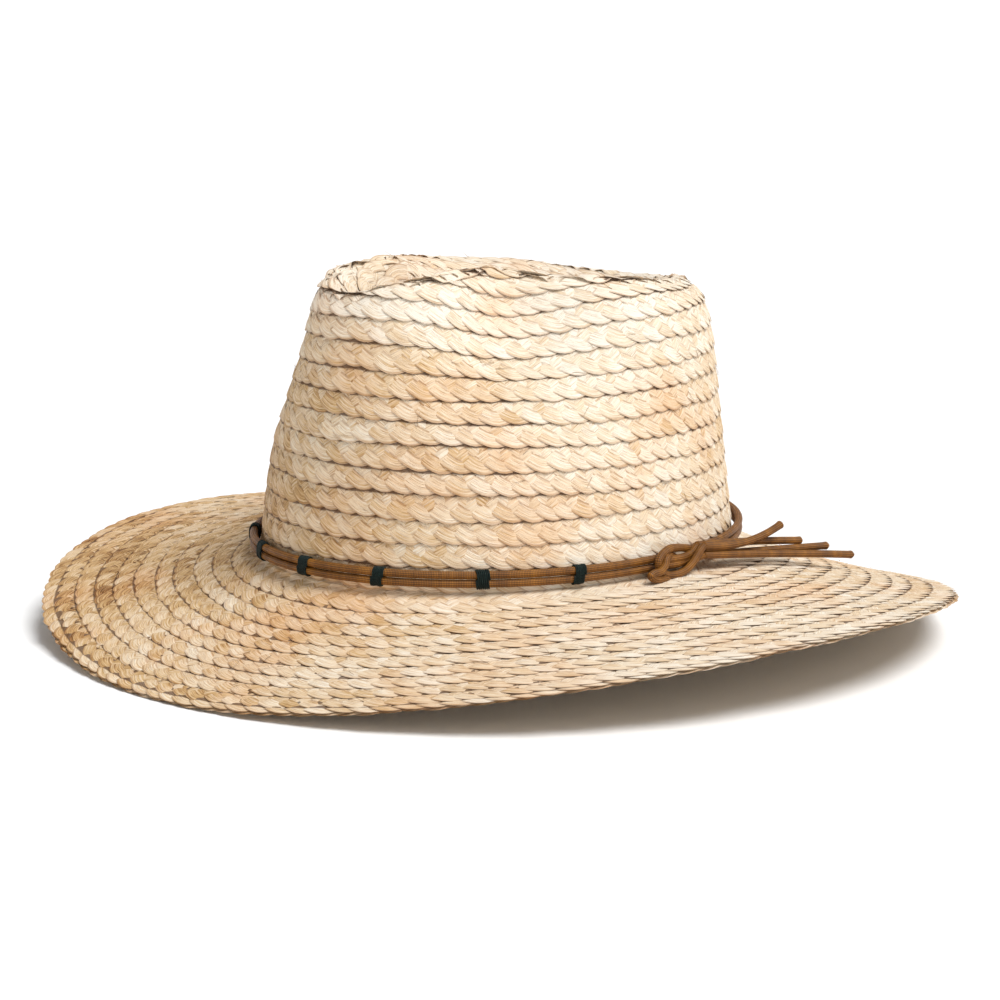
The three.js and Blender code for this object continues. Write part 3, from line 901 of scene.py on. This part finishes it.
# %% [markdown]
# ## The doubled edge
#
# The rim is finished with one more round of plait, sewn under the first row, so the edge is two
# layers thick. The hat stands on it at the front and the back, where it is pressed flat.

# %% The hem
HEM_SHARE = 0.1
HEM_DROP = 1.4
HEM_LOWEST = 0.4
HEM_MIDDLE = 0.5


def hem_surface(angle, level):
    """The brim from its hem's share of the width out to the rim, lowered by the hem's drop."""
    points = brim_surface(angle, (1 - level) * HEM_SHARE)
    points[..., 2] = np.maximum(points[..., 2] - HEM_DROP, HEM_LOWEST)
    return points


hem_rows = Rows(hem_surface, 1.0, 1)
hem_route = route(HEM_MIDDLE, HEM_MIDDLE, 1.0)
hem_strands = plait(
    hem_rows, hem_route, seed=500, spread=0.72, outer_lift=0.1, inner_lift=0.0, drop=0.0)
plait_piece("brim_hem", hem_strands)

# %% [markdown]
# ## The inside of the straw
#
# Inside the crown and under the brim one sees the back of the plait. It is hardly lit, so it can be
# simpler: a closed shell lies under the strands, with a small step at each row, and its finish
# draws the weave. It also closes every pinhole between the strands.

# %% The finish of the back of the plait
BACK_CROSSINGS = 2.5
RISING_FROM = 500.0


def back_finish():
    """Two sets of slanting strands. Where their numbers add up to an odd number one set is on top,
    and each strand is highest along its middle. Its colour is also lighter there and darker towards
    its edges: painted light, and painted shade between the strands."""
    finish = Finish("raffia_back")
    _, x, y = finish.along_and_around()
    across = y.math("FRACT")
    falling = x + across * BACK_CROSSINGS
    rising = x - across * BACK_CROSSINGS
    falling_number = falling.math("FLOOR")
    rising_number = rising.math("FLOOR")
    on_top = ((falling_number + rising_number) * 0.5).math("FRACT") > 0.25
    below = 1 - on_top
    share = falling.math("FRACT") * on_top + rising.math("FRACT") * below
    number = falling_number * on_top + (rising_number + RISING_FROM) * below
    from_middle = share * 2 - 1
    bulge = 1 - from_middle * from_middle
    strand = finish.add("ShaderNodeCombineXYZ", None, {0: number, 1: y.math("FLOOR")})
    own = finish.add("ShaderNodeTexWhiteNoise", {"noise_dimensions": "2D"}, {"Vector": strand})
    grain = finish.add("ShaderNodeCombineXYZ", None, {0: share * 7 + number * 13, 1: x * 0.6})
    fibres = finish.noise(grain, 1.0, 3.0, 0.6)
    # The bulge also lightens each strand's middle and darkens its edges in colour: painted light and
    # shade.
    return finish.end({
        "Base Color": finish.ramp(RAFFIA_STOPS, own * 0.3 + fibres * 0.7 + bulge * 0.3 - 0.15),
        "Roughness": 0.55 + fibres * 0.25, "Normal": finish.bump(bulge + fibres * 0.25, 0.7, 0.0012),
        "Specular IOR Level": 0.3,
    })


raffia_back = back_finish()

# %% Shells under the strands
BACK_COLUMNS = 240
BACK_OUTER_DEPTH = 1.35
BACK_INNER_DEPTH = 2.0
BACK_INNER_STEP = 0.6
BACK_LOWEST = 0.1
BRIM_BACK_START = 0.16
ROW_PLACES = (0.0, 0.5, 1.0)
ROW_SHARES = np.array([0.02, 0.5, 0.98])


def weld(corners, polygons):
    """Corners with one place joined, and the polygons renumbered to match."""
    kept, number = np.unique(corners.round(3), axis=0, return_inverse=True)
    return kept, [number.reshape(-1)[group] for group in polygons]


def back_piece(name, rows, start, open_top, edge_depth):
    """Closed shell: an outer and an inner face at depths under the rows, joined at the edges.

    The inner depth grows across each row by the step, and the outer face starts at an edge depth.
    The map counts strands along a row, and rows.
    """
    turn = np.linspace(0, 1, BACK_COLUMNS + 1)
    row = np.arange(rows.count)[:, None]
    line = (row + ROW_SHARES).ravel()
    placed = np.maximum((row + ROW_PLACES).ravel(), start)
    depth = (BACK_INNER_DEPTH + BACK_INNER_STEP * (ROW_SHARES + 0 * row)).ravel()
    points, normals, _ = rows.at(2 * np.pi * turn, placed[:, None])
    outer_depth = np.where(np.arange(line.size) == 0, edge_depth, BACK_OUTER_DEPTH)
    outer = points - outer_depth[:, None, None] * normals
    inner = points - depth[:, None, None] * normals
    corners = np.concatenate([outer.reshape(-1, 3), inner.reshape(-1, 3)])
    corners[:, 2] = np.maximum(corners[:, 2], BACK_LOWEST)
    number = np.arange(line.size * turn.size).reshape(line.size, turn.size)
    quads = np.stack([number[:-1, :-1], number[:-1, 1:], number[1:, 1:], number[1:, :-1]], axis=-1)
    strands = np.round(length_along(points)[:-1, -1:] / PERIOD)
    level = 0 * turn[:-1]
    face_map = four_cornered(
        turn[:-1] * strands, turn[1:] * strands, line[:-1, None] + level, line[1:, None] + level)
    ends = [(number[0], -1)] + ([(number[-1], 1)] if open_top else [])
    rims = [
        np.stack([ring[:-1], ring[1:], ring[1:] + number.size, ring[:-1] + number.size], -1)[:, ::way]
        for ring, way in ends
    ]
    rim_maps = [np.zeros((BACK_COLUMNS, 4, 2)) for ring in ends]
    polygons = [quads.reshape(-1, 4), quads.reshape(-1, 4)[:, ::-1] + number.size, *rims]
    corners, polygons = weld(corners, polygons)
    maps = [face_map, face_map[:, ::-1], *rim_maps]
    return new_piece(name, corners, polygons, maps, raffia_back, "straw")


back_piece("crown_back", crown_rows, start=0.0, open_top=False, edge_depth=0.0)
back_piece("brim_back", brim_rows, BRIM_BACK_START, open_top=True, edge_depth=BACK_OUTER_DEPTH)

# %% [markdown]
# ## The band
#
# Two cords run round the foot of the crown, one above the other, and meet again in the knot. A
# torus is round from above, but the foot is an oval that rises and falls, so each cord is a tube
# along a line that follows it.

# %% The two cords of the band
CORD_STANDOFF = 2.8
CORD_HEIGHTS = {"band_cord_lower": 2.3, "band_cord_upper": 5.5}
CORD_START = 84.0
CORD_END = -262.0
BAND_RINGS = 400


def band_point(degrees, height, out):
    """Point at a height above the crown's foot, on the foot's ellipse grown by a distance."""
    angle = np.radians(degrees)
    x = (FOOT_HALF_WIDTH + out) * np.sin(angle)
    y = -(FOOT_HALF_LENGTH + out) * np.cos(angle)
    return np.stack(np.broadcast_arrays(x, y, foot_height(angle) + height), axis=-1)


for node, height in CORD_HEIGHTS.items():
    degrees = np.linspace(CORD_START, CORD_END, BAND_RINGS)
    path = band_point(degrees, height, CORD_STANDOFF)
    cord = tube_piece(f"{node}_woven", path[None], UP, CORD_RADIUS, CORD_SIDES, waxed_cord, "cord")
    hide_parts(node)

# %% [markdown]
# ## The lashings
#
# Thirteen short lashings hold the two cords together. Each is one waxed thread, wound seven times
# round both cords, so it is one long tube on a spiral whose section is an upright oval.

# %% The thread's finish
THREAD_RADIUS = 0.36
THREAD_SIDES = 6
THREAD_STOPS = ((0.0, paint("020706")), (0.5, paint("081816")), (1.0, paint("1c3d38")))
TWIST_ALONG = 6.0
TWIST_AROUND = 18.85
THREAD_PATCH_SCALE = 0.7


def thread_finish():
    """Dark green, with fine slanting lines of its twist, darker in its grooves: painted shade."""
    finish = Finish("waxed_thread")
    place, along, around = finish.along_and_around()
    twist = (along * TWIST_ALONG + around * TWIST_AROUND).math("SINE") * 0.5 + 0.5
    shade = finish.noise(place, THREAD_PATCH_SCALE, 2.0)
    # The colour follows the twist, so its grooves are painted darker: painted shade.
    return finish.end({
        "Base Color": finish.ramp(THREAD_STOPS, twist * 0.35 + shade * 0.7 - 0.05),
        "Roughness": 0.7 - twist * 0.15, "Normal": finish.bump(twist, 0.5, 0.0002),
        "Specular IOR Level": 0.25,
    })


waxed_thread = thread_finish()

# %% Thirteen lashings
LASHING_ANGLES = (64.4, 43.2, 19.4, -1.8, -22.5, -44, -66, -89, -112, -135, -158, -181, -204)
LASHING_WIDTH = 4.9
LASHING_TURNS = 7
LASHING_RINGS = 24
LASHING_RADIUS = 1.85
LASHING_RADIUS_WAVE = 0.08
LASHING_WAVES = 5.3
LASHING_STEP = 3.0
LASHING_SQUEEZE = 0.15
LASHING_SEED = 700
CORD_GAP_HALF = (CORD_HEIGHTS["band_cord_upper"] - CORD_HEIGHTS["band_cord_lower"]) / 2
BAND_MIDDLE = (CORD_HEIGHTS["band_cord_upper"] + CORD_HEIGHTS["band_cord_lower"]) / 2


def lashing_piece(number):
    """Thread on an oval spiral: out by the cosine, up by the sine plus a smooth step between the
    cords, and along by the share of the turns, with a small slant of its own."""
    degrees = LASHING_ANGLES[number]
    place, ahead_place = band_point([degrees, degrees + 0.5], BAND_MIDDLE, CORD_STANDOFF)
    ahead = (ahead_place - place) / np.linalg.norm(ahead_place - place)
    across = np.cross(ahead, UP)
    across = across / np.linalg.norm(across)
    upwards = np.cross(ahead, across)
    share = np.linspace(0, 1, LASHING_TURNS * LASHING_RINGS)
    turn = 2 * np.pi * LASHING_TURNS * share
    slant, squeeze = np.random.default_rng(LASHING_SEED + number).uniform(-0.5, 0.5, 2)
    wave = np.sin(LASHING_WAVES * turn / LASHING_TURNS + number)
    radius = LASHING_RADIUS + LASHING_RADIUS_WAVE * wave
    out = radius * np.cos(turn)
    up = radius * np.sin(turn) + CORD_GAP_HALF * np.tanh(LASHING_STEP * np.sin(turn))
    width = LASHING_WIDTH * (0.95 + LASHING_SQUEEZE * squeeze)
    forwards = (share - 0.5) * width + slant * np.sin(turn)
    path = place + out[:, None] * across + up[:, None] * upwards + forwards[:, None] * ahead
    outwards = np.cos(turn)[:, None] * across + np.sin(turn)[:, None] * upwards
    name = f"lashing_{number + 1:02d}"
    thread = tube_piece(
        f"{name}_thread", path[None], outwards, THREAD_RADIUS, THREAD_SIDES, waxed_thread, "thread")
    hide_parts(name)


for lashing_number in range(len(LASHING_ANGLES)):
    lashing_piece(lashing_number)

# %% [markdown]
# ## The knot
#
# The front pair of cords runs straight through the knot. Of the pair from the back, one cord rises
# over them in an arch, is turned down in front of them and comes back below. The other comes out
# between them, makes a small loop on the brim and follows the first one up. The places that each
# cord passes were read from the picture, so they are given as the camera sees them: to the right,
# up, and out from the foot of the crown at the knot, in millimetres.

# %% Four cords that cross
KNOT_ANGLE = 91.0
KNOT_RINGS = 110
KNOT_UP = (1.0, 0.0, 0.05)
KNOT_ROUTES = (
    ((-6.9, 3.1, 2.3), (-3.5, 2.6, 3.4), (0.5, 3.1, 4.6), (4.5, 3.8, 5.0), (8.0, 5.6, 4.2),
     (10.0, 8.4, 4.3)),
    ((-6.9, 0.0, 2.3), (-3.5, 0.5, 3.4), (0.0, 1.0, 4.6), (3.0, 1.6, 5.0), (6.5, 3.1, 4.6),
     (10.0, 4.7, 4.3)),
    ((10.0, 7.2, 1.9), (7.0, 7.2, 2.6), (3.5, 7.4, 3.4), (-0.5, 7.2, 4.6), (-3.6, 5.4, 6.0),
     (-5.4, 2.6, 6.6), (-5.2, -0.6, 6.4), (-3.0, -2.6, 6.2), (0.5, -3.0, 6.8), (5.0, -1.4, 7.4),
     (8.4, 2.0, 8.0), (10.8, 6.0, 8.0), (12.5, 8.2, 7.7)),
    ((10.0, 4.0, 1.9), (6.5, 3.4, 1.7), (2.5, 3.2, 1.8), (-0.8, 4.6, 3.4), (-2.5, 3.4, 6.8),
     (-3.0, 0.8, 8.2), (-4.8, -1.6, 8.6), (-7.4, -2.4, 8.4), (-8.6, -3.4, 8.2), (-7.0, -4.4, 8.2),
     (-3.5, -4.6, 7.2), (-0.5, -3.6, 5.2), (3.5, -2.2, 4.6), (7.5, 1.0, 5.4), (10.0, 3.6, 6.8),
     (12.5, 4.7, 7.7)),
)


def through_all(points, count):
    """Smooth curve through any number of points, evenly shared among them."""
    place = np.linspace(0, len(points) - 1, count)
    return np.stack([between(column, place) for column in zip(*points)], axis=-1)


def from_view(seen):
    """Outwards, along the band and upwards, from places to the right, up and out in the picture."""
    right, up, out = np.moveaxis(seen, -1, 0)
    along = (right - out * math.cos(CAMERA_AZIMUTH)) / math.sin(CAMERA_AZIMUTH)
    nearer = out * math.sin(CAMERA_AZIMUTH) - along * math.cos(CAMERA_AZIMUTH)
    height = (up + nearer * math.sin(CAMERA_ELEVATION)) / math.cos(CAMERA_ELEVATION)
    return np.stack([out, along, height], axis=-1)


routes = np.stack([through_all(places, KNOT_RINGS) for places in KNOT_ROUTES])
centre = band_point(KNOT_ANGLE, 0.0, 0.0) + from_view(routes)
knot = tube_piece("knot_cords", centre, KNOT_UP, CORD_RADIUS, CORD_SIDES, waxed_cord, "cord")
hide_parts("knot")

# %% [markdown]
# ## Loose fibres
#
# Here and there a fibre has split from its strand and stands off the straw. They are few and thin,
# but without them the surface looks too clean.

# %% A few split fibres
FIBRE_RINGS = 8
FIBRE_SIDES = 3
FIBRE_RADIUS = 0.13
FIBRE_TAPER = 0.7
FIBRE_ROOT = 0.5
FIBRE_TONE = 0.55
FIBRE_FIRST_ROW = 0.8
FIBRE_LENGTHS = (2.5, 7.5)
FIBRE_RISES = (0.1, 1.1)
FIBRE_BENDS = (-2.0, 2.0)


def split_fibres(name, rows, count, seed):
    """Thin curved tubes that start at random places and rise off the surface by a square."""
    generator = np.random.default_rng(seed)
    turn = generator.uniform(0, 2 * np.pi, count)
    row = generator.uniform(FIBRE_FIRST_ROW, rows.count - 1.0, count)
    root, normal, inwards = rows.at(turn, row)
    heading = generator.uniform(0, 2 * np.pi, count)[:, None]
    along = np.cos(heading) * np.cross(normal, inwards) + np.sin(heading) * inwards
    share = np.linspace(0, 1, FIBRE_RINGS)[None, :, None]
    length, rise, bend = (
        generator.uniform(*limits, count)[:, None, None]
        for limits in (FIBRE_LENGTHS, FIBRE_RISES, FIBRE_BENDS))
    centre = root[:, None] + along[:, None] * length * share
    centre = centre + normal[:, None] * (FIBRE_ROOT + rise * share ** 2)
    centre = centre + np.cross(normal, along)[:, None] * bend * share ** 2
    thin = FIBRE_RADIUS * (1 - FIBRE_TAPER * share)
    tube_piece(name, centre, normal[:, None], thin, FIBRE_SIDES, raffia, "straw", {"tone": FIBRE_TONE})


split_fibres("crown_fibres", crown_rows, count=130, seed=901)
split_fibres("brim_fibres", brim_rows, count=110, seed=902)

# %% [markdown]
# ## Light and floor
#
# The picture is a bright studio shot on white, lit from the right. The world is one large soft
# light: its brightness grows with the cosine to a direction high on the right. A soft sun from the
# same side adds a little shape. The floor is a wide dish, so that no horizon shows.

# %% The light
DIM_SIDE = 0.14
BRIGHT_SIDE = 0.5
BRIGHT_FROM = Vector((0.49, 0.09, 0.87))
SUN_STRENGTH = 2.9
SUN_ANGLE = math.radians(32)
SUN_FROM = Vector((0.5, 0.04, 0.87))

sun_data = bpy.data.lights.new("sun", "SUN")
sun_data.energy = SUN_STRENGTH
sun_data.angle = SUN_ANGLE
sun = new_object("sun", sun_data)
sun.matrix_world = SUN_FROM.to_track_quat("Z", "Y").to_matrix().to_4x4()
studio = Finish("studio", "World")
sky_place = studio.add("ShaderNodeTexCoord")
facing = studio.add("ShaderNodeVectorMath", {"operation": "DOT_PRODUCT"}, {
    0: sky_place, 1: BRIGHT_FROM.normalized(),
}, 1)
bpy.context.scene.world = studio.end(
    {"Strength": facing.math("MAXIMUM", 0.0) * BRIGHT_SIDE + DIM_SIDE}, "ShaderNodeBackground")
bpy.context.scene.view_settings.view_transform = "Standard"

# %% The floor
FLOOR_FLAT = 4.0
FLOOR_REACH = 24.0
FLOOR_BOWL = 60.0
FLOOR_RINGS = 40
FLOOR_COLUMNS = 96
FLOOR_WHITE = (0.95, 0.95, 0.95, 1.0)


def floor_points(rings, columns):
    """Rings of a wide dish: level out to its flat radius, then rising by the square of the rest."""
    radius = np.linspace(0, 1, rings)[:, None] ** 2 * FLOOR_REACH
    turn = 2 * np.pi * np.arange(columns) / columns
    rise = np.maximum(radius - FLOOR_FLAT, 0) ** 2 / FLOOR_BOWL + 0 * turn
    return np.stack([radius * np.cos(turn), radius * np.sin(turn), rise], axis=-1)


floor_grid = floor_points(FLOOR_RINGS, FLOOR_COLUMNS)[1:]
floor_number = np.arange(len(floor_grid) * FLOOR_COLUMNS).reshape(-1, FLOOR_COLUMNS)
floor_next = np.roll(floor_number, -1, axis=1)
floor_quads = np.stack([floor_number[:-1], floor_number[1:], floor_next[1:], floor_next[:-1]], axis=-1)
floor_faces = [*floor_quads.reshape(-1, 4).tolist(), floor_number[0].tolist()]
floor_mesh = bpy.data.meshes.new("floor")
floor_mesh.from_pydata(floor_grid.reshape(-1, 3).tolist(), [], floor_faces)
floor_mesh.shade_smooth()
floor_mesh.materials.append(Finish("floor").end({"Base Color": FLOOR_WHITE, "Roughness": 0.9}))
floor = new_object("floor", floor_mesh)
